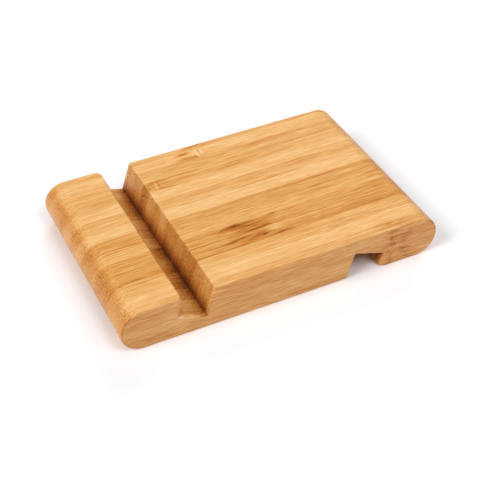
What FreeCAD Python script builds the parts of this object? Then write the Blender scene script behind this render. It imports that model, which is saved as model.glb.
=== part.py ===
import FreeCAD, Part
import math
import os

# Bamboo block stand for a phone or a tablet, in millimetres.
# X runs along the block from the front lip (-X) to the back, Y runs across it and Z is up.
# The origin is the middle of the underside. The block is glued up from bamboo strips that
# stand on edge. A leaning slot is milled across the top near one end. A wider one is milled
# across the underside near the other end, for use with the block turned over.

# Block
length = 130.0
width = 84.0
thickness = 17.5
end_flat = 0.3              # height of the flat left at each end between its two roundings
side_round = 0.6            # rounding along both side faces

# Slots, each measured square to its walls
slot_lean = 18.0            # degrees that the walls lean back from upright
slot_width = 11.3
slot_lip = 24.5             # top face left in front of the slot
slot_floor = 5.7            # least bamboo left under the slot
wide_slot_width = 13.3
wide_slot_lip = 25.2        # bottom face left beside the wide slot
wide_slot_floor = 6.7       # least bamboo left over the wide slot
lip_edge_round = 1.2        # mouth edge on the lip side
rest_edge_round = 0.7       # mouth edge that the device leans on
floor_corner_round = 0.4

# Strips
core_count = 12             # full strips between the two trimmed edge strips
right_edge_strip = 3.6      # width left of each edge strip at the middle of the block
left_edge_strip = 3.0
grain_lean = 0.9            # degrees between the strips and the sides of the block

# What follows from the sizes above
end_round = (thickness - end_flat) / 2
core_strip = (width - right_edge_strip - left_edge_strip) / core_count
lean_shift = math.tan(math.radians(grain_lean))
cutter_margin = 5.0         # how far the strip cutters reach past the block


def slot_corners(lip, mouth_width, floor):
    """Corners (x, z, rounding) of a slot in the top face, from the rest edge to the lip edge."""
    lean = math.radians(slot_lean)
    lip_x = lip - length / 2
    rest_x = lip_x + mouth_width / math.cos(lean)
    foot_x = rest_x - (thickness - floor) * math.tan(lean)
    heel_x = foot_x - mouth_width * math.cos(lean)
    heel_z = floor + mouth_width * math.sin(lean)
    return [
        (rest_x, thickness, rest_edge_round),
        (foot_x, floor, floor_corner_round),
        (heel_x, heel_z, floor_corner_round),
        (lip_x, thickness, lip_edge_round),
    ]


def slotted_side(lip, mouth_width, floor):
    """Corners of the top half of the outline, from the back end to the front end."""
    back = (length / 2, thickness, end_round)
    front = (-length / 2, thickness, end_round)
    return [back] + slot_corners(lip, mouth_width, floor) + [front]


def turned_over(corners):
    """The same corners with the block turned over, end for end."""
    return [(-x, thickness - z, rounding) for x, z, rounding in corners]


def rounded_outline(corners):
    """Closed wire in the XZ plane with an arc of the given radius at each corner."""
    arcs = []
    tangent_points = []
    for index, (x, z, rounding) in enumerate(corners):
        before_x, before_z, _ = corners[index - 1]
        after_x, after_z, _ = corners[(index + 1) % len(corners)]
        corner = FreeCAD.Vector(x, 0, z)
        to_before = (FreeCAD.Vector(before_x, 0, before_z) - corner).normalize()
        to_after = (FreeCAD.Vector(after_x, 0, after_z) - corner).normalize()
        bisector = (to_before + to_after).normalize()
        half_angle = to_before.getAngle(to_after) / 2
        reach = rounding / math.tan(half_angle)
        start = corner + to_before * reach
        end = corner + to_after * reach
        middle = corner + bisector * (rounding / math.sin(half_angle) - rounding)
        arcs.append(Part.Arc(start, middle, end).toShape())
        tangent_points.append((start, end))
    edges = []
    for index, arc in enumerate(arcs):
        end = tangent_points[index][1]
        next_start = tangent_points[(index + 1) % len(corners)][0]
        edges += [arc, Part.makeLine(end, next_start)]
    return Part.Wire(edges)


def is_side_edge(edge):
    """True for an edge that lies in one of the two side faces."""
    box = edge.BoundBox
    return box.YLength < 1e-6 and abs(abs(box.Center.y) - width / 2) < 1e-6


def make_block():
    """The whole milled and rounded block before it is told apart into its strips."""
    top = slotted_side(slot_lip, slot_width, slot_floor)
    bottom = turned_over(slotted_side(wide_slot_lip, wide_slot_width, wide_slot_floor))
    face = Part.Face(rounded_outline(top + bottom))
    face.translate(FreeCAD.Vector(0, -width / 2, 0))
    block = face.extrude(FreeCAD.Vector(0, width, 0))
    side_edges = [edge for edge in block.Edges if is_side_edge(edge)]
    return block.makeFillet(side_round, side_edges)


def strip_space(y_right, y_left):
    """The room one strip takes: y_right and y_left are its sides at the middle of the block."""
    reach = length / 2 + cutter_margin
    shift = reach * lean_shift
    corners = [
        FreeCAD.Vector(-reach, y_right - shift, -cutter_margin),
        FreeCAD.Vector(reach, y_right + shift, -cutter_margin),
        FreeCAD.Vector(reach, y_left + shift, -cutter_margin),
        FreeCAD.Vector(-reach, y_left - shift, -cutter_margin),
    ]
    base = Part.Face(Part.makePolygon(corners + corners[:1]))
    return base.extrude(FreeCAD.Vector(0, 0, thickness + 2 * cutter_margin))


def strip_layout():
    """Name and two side positions of every strip, from the right side (-Y) to the left."""
    first_side = right_edge_strip - width / 2
    past_side = width / 2 + cutter_margin
    layout = [("edge_strip_right", -past_side, first_side)]
    for number in range(core_count):
        side = first_side + number * core_strip
        layout.append((f"core_strip_{number + 1:02d}", side, side + core_strip))
    last_side = first_side + core_count * core_strip
    layout.append(("edge_strip_left", last_side, past_side))
    return layout


os.makedirs("parts", exist_ok=True)
block = make_block()
total = 0
for name, y_right, y_left in strip_layout():
    strip = block.common(strip_space(y_right, y_left))
    solid = strip.Solids[0]
    total += solid.Volume
    solid.exportStep(f"parts/{name}.step")
    print(name, len(strip.Solids), "solid", round(solid.Volume, 1), "mm3", solid.isValid())
print("block", round(block.Volume, 1), "mm3, strips", round(total, 1), "mm3")
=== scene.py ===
import math
import bpy
import numpy as np
from mathutils import Matrix, Vector


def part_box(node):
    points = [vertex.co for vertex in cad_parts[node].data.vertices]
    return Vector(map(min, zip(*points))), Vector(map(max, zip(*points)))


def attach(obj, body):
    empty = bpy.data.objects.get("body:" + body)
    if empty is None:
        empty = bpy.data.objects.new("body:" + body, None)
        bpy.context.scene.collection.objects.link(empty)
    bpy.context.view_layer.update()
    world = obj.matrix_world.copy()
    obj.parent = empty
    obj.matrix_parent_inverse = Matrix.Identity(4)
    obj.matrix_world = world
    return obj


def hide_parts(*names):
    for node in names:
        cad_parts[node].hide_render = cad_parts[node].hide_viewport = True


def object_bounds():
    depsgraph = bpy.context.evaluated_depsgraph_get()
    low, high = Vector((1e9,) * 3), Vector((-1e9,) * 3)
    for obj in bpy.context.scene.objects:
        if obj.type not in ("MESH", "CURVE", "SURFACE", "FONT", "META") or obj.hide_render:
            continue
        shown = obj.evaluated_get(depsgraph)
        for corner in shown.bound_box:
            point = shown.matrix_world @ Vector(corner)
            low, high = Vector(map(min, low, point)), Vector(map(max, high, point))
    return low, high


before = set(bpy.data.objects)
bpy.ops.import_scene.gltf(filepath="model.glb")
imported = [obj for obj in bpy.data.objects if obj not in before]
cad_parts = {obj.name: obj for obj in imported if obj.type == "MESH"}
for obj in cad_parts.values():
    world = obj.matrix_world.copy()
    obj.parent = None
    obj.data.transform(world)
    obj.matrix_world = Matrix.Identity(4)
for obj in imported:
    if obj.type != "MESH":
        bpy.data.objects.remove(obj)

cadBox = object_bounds()
low, high = np.array(cadBox[0]), np.array(cadBox[1])
length, width, thickness = high - low
mm = 0.001

print("camera")

cameraView = {
    "azimuth": -25.0,          # degrees, turned towards the lip from straight on to the right side
    "elevation": 40.0,
    "roll": -1.0,
    "distance": 0.456,         # metres from the camera to the middle of the underside
    "asideRight": 0.001,       # how far the camera stands to its own right of that point
    "asideUp": -0.002,
    "lens": 86.0,
    "sensor": 36.0,
}


def placeCamera(view):
    # the camera looks back along its azimuth and elevation, then rolls about its own line of sight
    azimuth, elevation, roll = (math.radians(view[key]) for key in ("azimuth", "elevation", "roll"))
    back = Vector((math.sin(azimuth) * math.cos(elevation),
                   -math.cos(azimuth) * math.cos(elevation),
                   math.sin(elevation)))
    level = Vector((math.cos(azimuth), math.sin(azimuth), 0.0))
    upright = back.cross(level)
    right = level * math.cos(roll) + upright * math.sin(roll)
    up = upright * math.cos(roll) - level * math.sin(roll)
    place = back * view["distance"] + right * view["asideRight"] + up * view["asideUp"]
    data = bpy.data.cameras.new("camera")
    data.sensor_width = view["sensor"]
    data.lens = view["lens"]
    data.clip_start = 0.01
    camera = bpy.data.objects.new("camera", data)
    camera.matrix_world = Matrix.Translation(place) @ Matrix((right, up, back)).transposed().to_4x4()
    bpy.context.collection.objects.link(camera)
    bpy.context.scene.camera = camera


placeCamera(cameraView)

print("block outline")

blockShape = {
    "slotLean": 18.0,          # degrees that the slot walls lean back from upright
    "slotWidth": 11.3 * mm,    # square to the walls
    "slotLip": 24.5 * mm,      # top face left in front of the slot
    "slotFloor": 5.7 * mm,     # bamboo left under the slot
    "wideSlotWidth": 13.3 * mm,
    "wideSlotLip": 25.2 * mm,
    "wideSlotFloor": 6.7 * mm,
    "endFlat": 0.3 * mm,       # flat left between the two roundings of each end
    "lipEdgeRound": 1.2 * mm,
    "restEdgeRound": 0.7 * mm,
    "floorCornerRound": 0.4 * mm,
    "sideRound": 0.6 * mm,
    "bigRound": 3.0 * mm,      # roundings above this are ends, and those below are corners
    "step": 0.5 * mm,          # spacing of the mesh along the outline and across it
    "arcStep": 9.0,            # degrees between mesh points round a small corner
    "endStep": 3.0,            # and round the big ends
    "wornEdge": 0.06 * mm,     # how unevenly the mouth edges are sanded
    "paintedShadeReach": 3.6 * mm,     # how far the painted shade spreads from the inner corners of the slots
    "paintedShadeFade": 3.5 * mm,      # and how far from their open ends it starts
    "rubbedEdge": 0.35,        # how pale the open ends are rubbed, as a share of the painted shade's own change
    "rubbedReach": 1.2 * mm,
    "lipCornerRound": 2.4 * mm,    # how far the lips draw back at the sides of the block
}


def slotCorners(lip, slotWidth, floor):
    # corners (x, z, rounding) from the rest edge down to the foot, along the floor and up to the lip edge
    lean = math.radians(blockShape["slotLean"])
    lipX = lip - length / 2
    restX = lipX + slotWidth / math.cos(lean)
    footX = restX - (thickness - floor) * math.tan(lean)
    heelX = footX - slotWidth * math.cos(lean)
    heelZ = floor + slotWidth * math.sin(lean)
    return [(restX, thickness, blockShape["restEdgeRound"]),
            (footX, floor, blockShape["floorCornerRound"]),
            (heelX, heelZ, blockShape["floorCornerRound"]),
            (lipX, thickness, blockShape["lipEdgeRound"])]


def blockCorners():
    # the top half runs from the back end to the front; the other half is a slot turned end for end
    endRound = (thickness - blockShape["endFlat"]) / 2
    back = [(length / 2, thickness, endRound)]
    front = [(-length / 2, thickness, endRound)]
    slot = slotCorners(blockShape["slotLip"], blockShape["slotWidth"], blockShape["slotFloor"])
    turned = slotCorners(blockShape["wideSlotLip"], blockShape["wideSlotWidth"], blockShape["wideSlotFloor"])
    bottom = back + turned + front
    return back + slot + front + [(-x, thickness - z, rounding) for x, z, rounding in bottom]


def roundedLoop(corners):
    # each corner becomes an arc between its tangent points and each side a run of even steps;
    # columns: x, z, outward normal x and z, and 1 on an arris (a small convex rounding), else 0
    bends = []
    for index, (x, z, rounding) in enumerate(corners):
        corner = np.array((x, z))
        before = np.array(corners[index - 1][:2]) - corner
        after = np.array(corners[(index + 1) % len(corners)][:2]) - corner
        before /= np.linalg.norm(before)
        after /= np.linalg.norm(after)
        half = math.acos(np.dot(before, after)) / 2
        bisector = (before + after) / np.linalg.norm(before + after)
        centre = corner + bisector * rounding / math.sin(half)
        convex = before[0] * after[1] - before[1] * after[0] < 0
        reach = rounding / math.tan(half)
        bends.append((corner + before * reach, corner + after * reach, centre, rounding, convex))
    parts = []
    for index, (start, end, centre, rounding, convex) in enumerate(bends):
        first, last = start - centre, end - centre
        turn = math.atan2(first[0] * last[1] - first[1] * last[0], np.dot(first, last))
        big = rounding > blockShape["bigRound"]
        stepAngle = math.radians(blockShape["endStep"] if big else blockShape["arcStep"])
        count = max(3, math.ceil(abs(turn) / stepAngle))
        angle = math.atan2(first[1], first[0]) + turn * np.arange(count + 1) / count
        out = np.stack((np.cos(angle), np.sin(angle)), 1)
        sign = 1.0 if convex else -1.0
        arris = np.full((count + 1, 1), 1.0 if convex and not big else 0.0)
        parts.append(np.hstack((centre + out * rounding, out * sign, arris)))
        run = bends[(index + 1) % len(bends)][0] - end
        steps = math.ceil(np.linalg.norm(run) / blockShape["step"])
        along = np.arange(1, steps)[:, None] / steps
        normal = np.array((run[1], -run[0])) / np.linalg.norm(run)
        normals = np.tile(normal, (steps - 1, 1))
        parts.append(np.hstack((end + run * along, normals, np.zeros((steps - 1, 1)))))
    return np.vstack(parts)


loop = roundedLoop(blockCorners())
print("outline points", len(loop))

print("strips")

stripLayout = {
    "lean": 0.9,               # degrees between the strips and the sides of the block
    "glueGroove": 0.03 * mm,   # how far the glued edges are sanded below the strips
    "grooveWidth": 0.15 * mm,
    "roundSteps": 6,
}
leanSlope = math.tan(math.radians(stripLayout["lean"]))

# the tone of each shade of bamboo, from 0, darkest, to 1, palest
shades = {
    "bamboo_amber": 0.60,
    "bamboo_honey": 0.72,
    "bamboo_pale": 0.85,
}

# skin is the side that faced the outside of the culm (+1 left, -1 right)
# knots, in mm, where a joint of the culm was: x, spread, place across the strip, reach across it, tone
# lines, in mm, along single fibres: place across the strip, from x, to x, width, tone
strips = {
    "edge_strip_right": {"slot": "bamboo_honey", "skin": 1,
                         "knots": [(45.0, 7.5, 0.5, 2.6, -0.17)],
                         "lines": [(-1.2, -55.0, -36.0, 0.15, 0.08)]},
    "core_strip_01": {"slot": "bamboo_pale", "skin": -1,
                      "knots": [],
                      "lines": [(-1.0, -48.0, -38.0, 0.14, -0.14), (2.9, 46.0, 62.0, 0.2, 0.06)]},
    "core_strip_02": {"slot": "bamboo_honey", "skin": 1, "knots": [],
                      "lines": [(-1.7, -20.0, 64.0, 0.22, -0.18), (1.6, -60.0, -34.0, 0.2, -0.12),
                                (-0.2, -60.0, -36.0, 0.2, -0.12), (2.6, 16.0, 40.0, 0.25, 0.08)]},
    "core_strip_03": {"slot": "bamboo_amber", "skin": -1,
                      "knots": [(-4.0, 8.0, 1.0, 2.8, -0.25), (0.8, 1.0, -0.6, 0.6, -0.24),
                                (5.8, 2.8, 1.0, 1.2, 0.22), (6.0, 4.6, -2.3, 0.5, -0.28),
                                (-13.0, 8.0, 0.3, 0.7, -0.16)],
                      "lines": [(-3.0, -32.0, -5.0, 0.22, -0.24), (-2.3, 20.0, 60.0, 0.2, -0.14),
                                (2.6, -62.0, -38.0, 0.6, -0.10), (2.7, 14.0, 64.0, 0.2, -0.10)]},
    "core_strip_04": {"slot": "bamboo_amber", "skin": -1,
                      "knots": [(-4.0, 9.5, 0.6, 3.2, -0.25), (-9.5, 5.5, 2.2, 0.9, -0.19),
                                (-2.0, 2.4, 2.0, 0.35, -0.30), (8.0, 1.8, 2.6, 0.3, -0.38),
                                (-2.8, 3.9, -2.9, 0.4, -0.30), (3.6, 2.6, -2.2, 1.0, -0.20)],
                      "lines": [(-2.4, -40.0, -11.0, 0.45, 0.16), (-2.6, 9.0, 64.0, 0.2, 0.22),
                                (-2.8, -62.0, -38.0, 0.2, 0.16), (0.0, 14.0, 34.0, 0.2, -0.12)]},
    "core_strip_05": {"slot": "bamboo_honey", "skin": 1,
                      "knots": [(56.0, 3.6, 1.7, 1.6, -0.20), (57.5, 2.6, -1.2, 0.9, -0.20)],
                      "lines": [(-1.7, -32.0, -14.0, 0.2, 0.12), (-2.6, 26.0, 42.0, 0.25, 0.14),
                                (2.2, -62.0, -38.0, 0.25, -0.10), (-1.5, 38.0, 60.0, 0.2, -0.08)]},
    "core_strip_06": {"slot": "bamboo_amber", "skin": 1,
                      "knots": [(48.0, 2.6, 0.0, 1.0, 0.08)],
                      "lines": [(-1.7, 24.0, 38.0, 0.25, 0.10), (-2.9, -62.0, -38.0, 0.2, -0.14)]},
    "core_strip_07": {"slot": "bamboo_pale", "skin": -1, "knots": [],
                      "lines": [(2.8, -62.0, -38.0, 0.6, -0.10), (-0.6, 10.0, 34.0, 0.3, 0.06)]},
    "core_strip_08": {"slot": "bamboo_honey", "skin": 1, "knots": [],
                      "lines": [(-3.0, 0.0, 36.0, 0.35, -0.14), (2.9, 4.0, 46.0, 0.35, -0.14),
                                (2.9, -62.0, -38.0, 0.2, -0.16), (-2.9, -34.0, -18.0, 0.25, 0.12)]},
    "core_strip_09": {"slot": "bamboo_pale", "skin": -1, "knots": [],
                      "lines": [(2.9, -62.0, -38.0, 0.2, -0.10), (-2.2, -20.0, 20.0, 0.3, 0.06)]},
    "core_strip_10": {"slot": "bamboo_honey", "skin": 1,
                      "knots": [(-26.0, 9.0, 0.6, 3.0, -0.14), (-24.4, 0.5, 0.3, 1.7, 0.28),
                                (-23.4, 0.4, -0.6, 1.5, -0.24), (-21.0, 3.0, -2.8, 0.45, -0.30)],
                      "lines": [(2.6, -30.0, -3.0, 0.3, -0.20), (-1.2, 30.0, 62.0, 0.25, 0.06)]},
    "core_strip_11": {"slot": "bamboo_honey", "skin": 1,
                      "knots": [(44.0, 5.0, 2.4, 1.6, -0.05)], "lines": [(2.0, 14.0, 40.0, 1.0, -0.06)]},
    "core_strip_12": {"slot": "bamboo_pale", "skin": -1,
                      "knots": [(-7.2, 2.8, 1.5, 1.0, -0.42), (-5.4, 3.4, -2.2, 0.8, -0.38),
                                (-1.2, 0.6, -0.3, 2.6, 0.50), (-0.2, 0.35, 0.8, 1.4, -0.50),
                                (0.8, 0.5, 0.3, 2.0, 0.30), (-2.3, 0.5, -2.2, 0.7, -0.34)],
                      "lines": [(-0.6, -30.0, -14.0, 0.25, -0.06)]},
    "edge_strip_left": {"slot": "bamboo_honey", "skin": -1,
                        "knots": [(-1.0, 7.0, 0.0, 1.3, -0.20), (2.0, 4.0, 0.2, 0.5, -0.16)], "lines": []},
}

# the joint of the culm that the right edge strip was cut through, in mm
culmJoint = {
    "border": 44.4,            # where the ring of the joint crosses the side of the block
    "borderWidth": 0.6,
    "zigzag": 8.0,             # how far the ring strays to and fro
    "borderTone": -0.32,
    "dashesAt": 48.5,
    "dashesSpread": 6.0,
    "dashesTone": -0.27,
    "patchTone": -0.06,
    "topFade": 0.7,            # how much the marks fade towards the top face
    "pits": [(46.1, 9.7), (50.3, 10.0), (50.5, 6.0)],
    "pitRadius": 0.32,
    "pitTone": -0.55,
}


def gluedSides(name):
    # the strip's two sides at the middle of the block: its box less the shift of its slant, which the
    # outer sides of the block don't have
    lower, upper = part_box(name)
    shift = leanSlope * length / 2
    right = lower[1] + shift * (lower[1] > low[1] + 0.1 * mm)
    left = upper[1] - shift * (upper[1] < high[1] - 0.1 * mm)
    return right, left


def wornInset(x, y, arris):
    # a slow uneven wave along each arris, deeper on the sanded corners than on the flats
    wave = np.sin(y * 310 + x * 90) + np.sin(y * 830 + 1.7 + x * 40) + np.sin(y * 1900 + 0.6)
    return arris * blockShape["wornEdge"] * (0.5 + wave / 6)


def lipPull(px, pz, y):
    # each lip draws back towards its end where it meets a side of the block, as a quarter round across
    # the block that fades down the lip's wall and along its face
    pull = 0.0
    near = np.clip(1 - (width / 2 - np.abs(y)) / blockShape["lipCornerRound"], 0, 1)
    setBack = blockShape["lipCornerRound"] * (1 - np.sqrt(1 - near * near))
    slots = [(1, px, pz, "slotLip", "slotWidth", "slotFloor"),
             (-1, -px, thickness - pz, "wideSlotLip", "wideSlotWidth", "wideSlotFloor")]
    for sign, x, z, lip, across, floor in slots:
        corners = slotCorners(blockShape[lip], blockShape[across], blockShape[floor])
        heelZ, lipX = corners[2][1], corners[3][0]
        height = np.clip((z - heelZ) / (thickness - heelZ), 0, 1)
        reach = np.clip(1 - (lipX - x) / (3 * blockShape["lipCornerRound"]), 0, 1) * (x < lipX + 1 * mm)
        pull = pull - sign * setBack * height * reach
    return pull


def slotPaintedShade(px, pz, y):
    # painted shade, darkest in the inner corners: it thins out with distance from the foot of each slot and,
    # away from the open ends, from its heel; less than none stands for open edges rubbed pale
    inSlot = (np.abs(px) < length / 2 - thickness / 2) & (pz > 0.01 * mm) & (pz < thickness - 0.01 * mm)
    inner = [corner for corner in blockCorners() if corner[2] == blockShape["floorCornerRound"]]
    near = [np.exp(-np.hypot(px - x, pz - z) / blockShape["paintedShadeReach"]) for x, z, rounding in inner]
    feet, heels = np.maximum(near[0], near[2]), np.maximum(near[1], near[3])
    fromSide = np.abs(width / 2 - np.abs(y))
    indoors = 1 - np.exp(-fromSide / blockShape["paintedShadeFade"])
    rubbed = blockShape["rubbedEdge"] * np.exp(-fromSide / blockShape["rubbedReach"])
    return inSlot * (np.maximum(feet, heels * indoors) - rubbed)


def stripRows(name):
    # rows across a core strip, from its right side to its left, as (y, inset): its surface is flat,
    # and both glued sides dip into a fine groove
    right, left = gluedSides(name)
    groove = stripLayout["grooveWidth"]
    dip = stripLayout["glueGroove"]
    count = math.ceil((left - right) / blockShape["step"])
    flat = np.linspace(right + groove, left - groove, count)
    rows = [(right, dip), (right + groove / 2, dip * 0.3)]
    rows += [(y, 0.0) for y in flat]
    rows += [(left - groove / 2, dip * 0.3), (left, dip)]
    return np.array(rows)


def edgeRows(name, side):
    # rows across an edge strip as (share of the way to its outer side, y, inset): the glued side dips
    # into a fine groove, and the last rows follow the side rounding as a quarter round
    right, left = gluedSides(name)
    inner = right if side > 0 else left
    outer = side * width / 2
    radius = blockShape["sideRound"]
    groove = side * stripLayout["grooveWidth"]
    dip = stripLayout["glueGroove"]
    shelf = outer - side * radius
    count = math.ceil(abs(shelf - inner) / blockShape["step"])
    angle = np.linspace(0, math.pi / 2, stripLayout["roundSteps"] + 1)
    rows = [(0.0, inner, dip), (0.0, inner + groove / 2, dip * 0.3)]
    rows += [(share, inner + groove + (shelf - inner - groove) * share, 0.0)
             for share in np.linspace(0, 1, count)[:-1]]
    rows += [(1.0, shelf + side * radius * math.sin(a), radius * (1 - math.cos(a))) for a in angle]
    return np.array(rows)


def sweepStrip(name):
    # the outline carried across the strip, row by row, and closed by its two flat sides
    side = {"edge_strip_right": -1, "edge_strip_left": 1}.get(name, 0)
    if side:
        rows = edgeRows(name, side)
        straight, rowY, inset = rows.T
        order = np.argsort(rowY, kind="stable")
        straight, rowY, inset = straight[order], rowY[order], inset[order]
    else:
        rowY, inset = stripRows(name).T
        straight = np.zeros(len(rowY))
    px, pz, nx, nz, arris = loop.T
    slant = leanSlope * px[None, :] * (1 - straight[:, None])
    y = rowY[:, None] + slant
    depth = inset[:, None] + wornInset(px[None, :], y, arris[None, :])
    x = px[None, :] - nx[None, :] * depth + lipPull(px[None, :], pz[None, :], y)
    z = pz[None, :] - nz[None, :] * depth
    rowCount, ringCount = y.shape
    index = np.arange(rowCount * ringCount).reshape(rowCount, ringCount)
    ahead = np.roll(index, -1, 1)
    quads = np.stack((index[:-1], index[1:], ahead[1:], ahead[:-1]), -1).reshape(-1, 4)
    faces = quads.tolist() + [index[0].tolist(), index[-1][::-1].tolist()]
    mesh = bpy.data.meshes.new(name + "_grown")
    mesh.from_pydata(np.stack((x, y, z), -1).reshape(-1, 3).tolist(), [], faces)
    mesh.polygons.foreach_set("use_smooth", [True] * len(quads) + [False, False])
    # how squarely the cut crosses the fibres, how near it is to a sanded arris, and the painted shade in the
    # slots
    endGrain = np.abs(nx)[None, :] * np.ones((rowCount, 1))
    softArris = np.clip(np.convolve(np.tile(arris, 3), np.ones(3) / 3, "same")[ringCount:2 * ringCount], 0, 1)
    arrisRows = np.maximum(softArris[None, :], (inset > 0.02 * mm)[:, None] * (straight[:, None] > 0.5))
    dust = slotPaintedShade(px[None, :], pz[None, :], y)
    corners = np.zeros(len(mesh.loops), dtype=np.int64)
    mesh.loops.foreach_get("vertex_index", corners)
    isQuad = np.arange(len(mesh.loops)) < 4 * len(quads)
    for label, values in (("endGrain", endGrain), ("arris", arrisRows), ("dust", dust)):
        layer = mesh.attributes.new(label, "FLOAT", "CORNER")
        layer.data.foreach_set("value", np.where(isQuad, values.reshape(-1)[corners], 0.0))
    mesh.set_sharp_from_angle(angle=math.radians(32))
    mesh.update()
    piece = bpy.data.objects.new(name + "_grown", mesh)
    bpy.context.collection.objects.link(piece)
    return piece


print("bamboo")

bambooLook = {
    "ramp": [(0.00, (0.180, 0.046, 0.006)), (0.25, (0.440, 0.132, 0.015)), (0.45, (0.580, 0.233, 0.041)),
             (0.60, (0.668, 0.325, 0.091)), (0.80, (0.782, 0.437, 0.162)), (1.00, (0.865, 0.567, 0.268))],
    "culmRadius": 45.0,        # mm, bends the bands seen on the end grain
    "bundleGap": 0.8,          # mm between the dark fibre bundles
    "bandDepth": 0.34,         # these depths are changes of tone
    "blotchDepth": 0.22,
    "fineDepth": 0.62,
    "threadDepth": 0.86,
    "dashDepth": 0.10,
    "streakDepth": 0.15,
    "bundleDepth": 0.03,
    "endBundleDepth": 0.24,
    "endDepth": 0.10,
    "endEvenness": 0.4,        # how much nearer in tone the strips are on an end cut
    "turnDepth": 0.13,         # where the rounding turns from long grain to end grain
    "speckleDepth": 0.50,
    "paintedSideShade": 0.15,      # painted shade: the outer sides of the block are painted a little darker than its top
    "glueDepth": 0.10,
    "glueWidth": 0.22,         # mm
    "skinDepth": 0.05,
    "arrisPalerAndHighlight": 0.03,        # sanded corners are painted a little paler: partly sanded wear, partly a painted highlight
    # painted shade: how much darker the slots are painted towards their inner corners
    "paintedShadeDepth": 0.58,
    "roughness": 0.50,
    "coat": 0.30,
    "specular": 0.30,
    "coatRoughness": 0.30,
    "bumpStrength": 0.35,
    "bumpDistance": 0.05 * mm,
}


class Wire:
    # one end of a shader link, on which a plain Python sum adds its Math nodes
    def __init__(self, socket):
        self.socket = socket

    def add(self, kind, settings, inputs, output=0):
        node = self.socket.id_data.nodes.new(kind)
        for key, value in settings.items():
            if key == "stops":
                setStops(node.color_ramp, value)
            else:
                setattr(node, key, value)
        for key, value in inputs.items():
            if isinstance(value, Wire):
                self.socket.id_data.links.new(value.socket, node.inputs[key])
            else:
                node.inputs[key].default_value = value
        return Wire(node.outputs[output])

    def other(self, output):
        # another output of the same node
        return Wire(self.socket.node.outputs[output])

    def sum(self, operation, first, second=0.0):
        return self.add("ShaderNodeMath", {"operation": operation}, {0: first, 1: second})

    def __add__(self, other):
        return self.sum("ADD", self, other)

    __radd__ = __add__

    def __mul__(self, other):
        return self.sum("MULTIPLY", self, other)

    __rmul__ = __mul__

    def __sub__(self, other):
        return self.sum("SUBTRACT", self, other)

    def __rsub__(self, other):
        return self.sum("SUBTRACT", other, self)

    def __truediv__(self, other):
        return self.sum("DIVIDE", self, other)

    def __pow__(self, other):
        return self.sum("POWER", self, other)

    def __abs__(self):
        return self.sum("ABSOLUTE", self)

    def band(self, start, end):
        # 0 at start, 1 at end, smooth between
        return self.add("ShaderNodeMapRange", {"interpolation_type": "SMOOTHSTEP"},
                        {"Value": self, "From Min": start, "From Max": end})

    def limited(self):
        return self.add("ShaderNodeClamp", {}, {"Value": self})


def setStops(ramp, stops):
    while len(ramp.elements) < len(stops):
        ramp.elements.new(0.5)
    for element, (place, colour) in zip(ramp.elements, stops):
        element.position = place
        element.color = (*colour, 1.0)


def bell(*offsets):
    # 1 where every offset is 0, falling away as exp(-sum of their squares)
    squares = sum(offset * offset for offset in offsets)
    return squares.sum("EXPONENT", squares * -1)


def grain(place, stretch, shift, detail=2.0, roughness=0.5):
    # smooth noise; stretch is how many waves a mm holds along, across and up the fibres
    spread = place[0].add("ShaderNodeCombineXYZ", {}, {0: place[0] * stretch[0] + shift,
                                                       1: place[1] * stretch[1] + shift * 0.37,
                                                       2: place[2] * stretch[2]})
    return spread.add("ShaderNodeTexNoise", {}, {"Vector": spread, "Scale": 1.0, "Detail": detail,
                                                 "Roughness": roughness})


def knotTones(strip, place, streaks, fray):
    # each knot is a bell along and across the strip with frayed ends, broken into streaks
    x, across, z = place
    tone = 0.0
    flare = 0.0
    for knotX, spread, middle, reach, change in strip["knots"]:
        spot = bell((x + fray * (0.6 * spread) - knotX) / spread, (across - middle) / reach)
        tone = tone + spot * (streaks * 0.7 + 0.65) * change
        flare = flare + spot
    return tone, flare


def lineTones(strip, place, ripple):
    # a line follows one fibre from its start to its end and fades out over its last few mm
    x, across, z = place
    tone = 0.0
    for middle, start, end, lineWidth, change in strip["lines"]:
        line = bell((across + ripple * 0.5 - middle) / lineWidth)
        tone = tone + line * x.band(start, start + 5) * (1 - x.band(end - 5, end)) * change
    return tone


def jointTones(place, seed):
    # the ring strays to and fro up the side, with short level dashes and three pits beside it
    x, across, z = place
    look = culmJoint
    stray = (grain(place, (0.02, 0.3, 0.80), seed, 2.0, 0.7) - 0.5) * look["zigzag"]
    specks = grain(place, (0.55, 1.0, 1.5), seed + 11, 1.0).band(0.38, 0.60)
    ring = bell((x + stray - look["border"]) / look["borderWidth"]) * (specks * 0.8 + 0.3)
    dashes = grain((x, across, z + x * 0.12), (0.22, 0.5, 1.15), seed + 5.0, 1.0).band(0.52, 0.62)
    patch = bell((x + stray - look["dashesAt"]) / look["dashesSpread"])
    tone = ring * look["borderTone"] + dashes * patch * look["dashesTone"] + patch * look["patchTone"]
    for pitX, pitZ in look["pits"]:
        tone = tone + bell((x - pitX) / look["pitRadius"], (z - pitZ) / look["pitRadius"]) * look["pitTone"]
    return tone * (1 - look["topFade"] * z.band(thickness / mm - 1.6, thickness / mm - 0.2))


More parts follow.
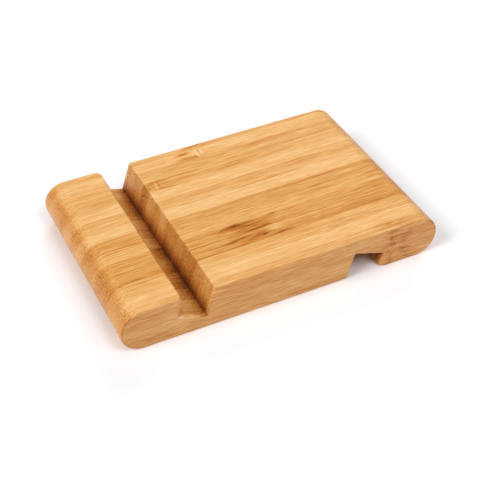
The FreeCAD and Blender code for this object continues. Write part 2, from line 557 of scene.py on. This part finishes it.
def makeBamboo(name, strip, number):
    # a solid pattern: fibre bundles run along X, so a long cut shows streaks and an end cut shows dots
    look = bambooLook
    material = bpy.data.materials.new("bamboo_" + name)
    material.use_nodes = True
    tree = material.node_tree
    tree.nodes.remove(tree.nodes["Principled BSDF"])
    surface = Wire(tree.nodes["Material Output"].inputs["Surface"])
    position = surface.add("ShaderNodeTexCoord", {}, {}, "Object")
    metres = position.add("ShaderNodeSeparateXYZ", {}, {0: position}, "X")
    x, y, z = metres * 1000, metres.other("Y") * 1000, metres.other("Z") * 1000
    right, left = (side / mm for side in gluedSides(name))
    halfWidth = (left - right) / 2
    across = y - x * leanSlope - (right + left) / 2
    place = (x, across, z)
    seed = number * 17.3

    sway = grain(place, (0.02, 0.05, 0.05), seed, 1.0) - 0.5
    ripple = grain(place, (0.15, 0.25, 0.25), seed + 40, 1.0) - 0.5
    fray = grain(place, (0.05, 1.5, 0.7), seed + 7, 2.0) - 0.5
    streaks = grain((x, across - x * 0.08, z), (0.12, 1.9, 1.4), seed + 61, 2.0).band(0.40, 0.60)
    speckle = grain(place, (2.2, 1.3, 3.0), seed + 71, 2.0) - 0.5
    knots, flare = knotTones(strip, place, streaks, fray * 4)
    bow = (z - thickness / mm / 2) ** 2 / (2 * look["culmRadius"])
    radial = across * strip["skin"] + bow + sway * 0.8 + ripple * (0.10 + 1.0 * flare)
    fibres = (x, radial, z + sway * 1.5 + ripple * (0.10 + 0.8 * flare))

    bands = grain(fibres, (0.010, 0.62, 0.10), seed + 3)
    blotches = grain(fibres, (0.035, 0.14, 0.10), seed + 9)
    fine = grain(fibres, (0.055, 2.3, 2.0), seed + 17, 3.0, 0.6)
    threads = grain(fibres, (0.14, 4.0, 3.8), seed + 29, 2.0, 0.55)
    dashes = grain(fibres, (0.16, 3.6, 3.6), seed + 51, 1.0).band(0.60, 0.74)
    spread = x.add("ShaderNodeCombineXYZ", {}, {0: x * 0.012 + seed, 1: radial / look["bundleGap"],
                                                2: fibres[2] / look["bundleGap"]})
    cells = x.add("ShaderNodeTexVoronoi", {"feature": "F1"},
                  {"Vector": spread, "Scale": 1.0, "Randomness": 0.9}, "Distance")
    towardsSkin = (radial / halfWidth * 0.5 + 0.5).limited()
    bundles = (1 - cells.band(0.18, 0.42)) * (0.35 + 0.65 * towardsSkin)

    endGrain = x.add("ShaderNodeAttribute", {"attribute_name": "endGrain"}, {}, "Fac")
    endCut = endGrain.band(0.35, 0.95)
    turning = bell((endGrain - 0.66) / 0.20)
    arris = x.add("ShaderNodeAttribute", {"attribute_name": "arris"}, {}, "Fac")
    dust = x.add("ShaderNodeAttribute", {"attribute_name": "dust"}, {}, "Fac")
    glued = {"edge_strip_right": across, "edge_strip_left": across * -1}.get(name, abs(across))
    glue = glued.band(halfWidth - look["glueWidth"], halfWidth)

    shade = shades[strip["slot"]]
    tone = shade + knots + lineTones(strip, place, ripple)
    tone = tone + (bands - 0.5) * look["bandDepth"] + (blotches - 0.5) * look["blotchDepth"]
    tone = tone + (fine - 0.5) * look["fineDepth"] + (threads - 0.5) * look["threadDepth"]
    tone = tone - dashes * (look["dashDepth"] + 0.10 * flare) - flare * (streaks - 0.5) * look["streakDepth"]
    tone = tone - bundles * (look["bundleDepth"] + look["endBundleDepth"] * endCut)
    tone = tone - towardsSkin * look["skinDepth"] - glue * look["glueDepth"]
    tone = tone - endCut * (look["endDepth"] + (shade - 0.6) * look["endEvenness"])
    tone = tone + speckle * (turning + endCut * 0.35) * look["speckleDepth"]
    # painted shade darkens the slots towards their inner corners
    # the arrises are painted a little paler: partly sanded wear, partly a painted highlight
    tone = tone - turning * look["turnDepth"] - dust * look["paintedShadeDepth"] + arris * look["arrisPalerAndHighlight"]
    # painted shade: the outer sides of the block are painted darker than its top
    side = width / mm / 2
    tone = tone - abs(y).band(side - 0.5, side - 0.1) * look["paintedSideShade"]
    if name == "edge_strip_right":
        tone = tone + jointTones(place, seed)
    colour = x.add("ShaderNodeValToRGB", {"stops": look["ramp"]}, {"Fac": tone})

    roughness = look["roughness"] + (fine - 0.5) * -0.16 + bundles * 0.06 + endCut * 0.10 + dust * 0.2
    relief = fine * 0.5 + threads * 0.35 - bundles * 0.4 - dashes * 0.4 - glue * 0.5
    normal = x.add("ShaderNodeBump", {}, {"Strength": look["bumpStrength"],
                                          "Distance": look["bumpDistance"], "Height": relief}, "Normal")
    shader = x.add("ShaderNodeBsdfPrincipled", {}, {"Base Color": colour, "Roughness": roughness,
                                                    "Normal": normal, "Coat Weight": look["coat"],
                                                    "Coat Roughness": look["coatRoughness"],
                                                    "Specular IOR Level": look["specular"]})
    tree.links.new(shader.socket, surface.socket)
    return material


for number, (name, strip) in enumerate(strips.items()):
    piece = sweepStrip(name)
    piece.data.materials.append(makeBamboo(name, strip, number))
    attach(piece, "root")
    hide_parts(name)

print("floor and light")

studio = {
    "floorSize": 40.0,
    "floorColour": (0.95, 0.95, 0.97),
    "skyColour": (0.95, 0.97, 1.0),
    "skyStrength": 0.05,
    # soft lamps: azimuth, elevation, width in degrees, strength, seen in reflections
    "lamps": {
        "key": (-85.0, 40.0, 35.0, 2.3, True),
        "front": (25.0, 50.0, 35.0, 1.4, True),
        "overhead": (0.0, 89.0, 45.0, 0.5, True),
        "back": (140.0, 25.0, 35.0, 1.4, False),
    },
}


def makeFloor():
    half = studio["floorSize"] / 2
    mesh = bpy.data.meshes.new("floor")
    corners = [(-half, -half, 0), (half, -half, 0), (half, half, 0), (-half, half, 0)]
    mesh.from_pydata(corners, [], [(0, 1, 2, 3)])
    material = bpy.data.materials.new("floor")
    material.use_nodes = True
    shader = material.node_tree.nodes["Principled BSDF"]
    shader.inputs["Base Color"].default_value = (*studio["floorColour"], 1.0)
    shader.inputs["Roughness"].default_value = 0.5
    mesh.materials.append(material)
    floor = bpy.data.objects.new("floor", mesh)
    bpy.context.collection.objects.link(floor)


def makeLamps():
    # each lamp shines from its own azimuth and elevation, and its width softens its shadow
    for name, (azimuth, elevation, lampWidth, strength, shiny) in studio["lamps"].items():
        turn, rise = math.radians(azimuth), math.radians(elevation)
        towards = Vector((math.sin(turn) * math.cos(rise), -math.cos(turn) * math.cos(rise), math.sin(rise)))
        data = bpy.data.lights.new(name, "SUN")
        data.angle = math.radians(lampWidth)
        data.energy = strength
        lamp = bpy.data.objects.new(name, data)
        lamp.visible_glossy = shiny
        lamp.rotation_euler = towards.to_track_quat("Z", "Y").to_euler()
        bpy.context.collection.objects.link(lamp)


def makeSky():
    world = bpy.data.worlds.new("sky")
    world.use_nodes = True
    background = world.node_tree.nodes["Background"]
    background.inputs["Color"].default_value = (*studio["skyColour"], 1.0)
    background.inputs["Strength"].default_value = studio["skyStrength"]
    bpy.context.scene.world = world


makeFloor()
makeLamps()
makeSky()
bpy.context.scene.view_settings.view_transform = "Standard"
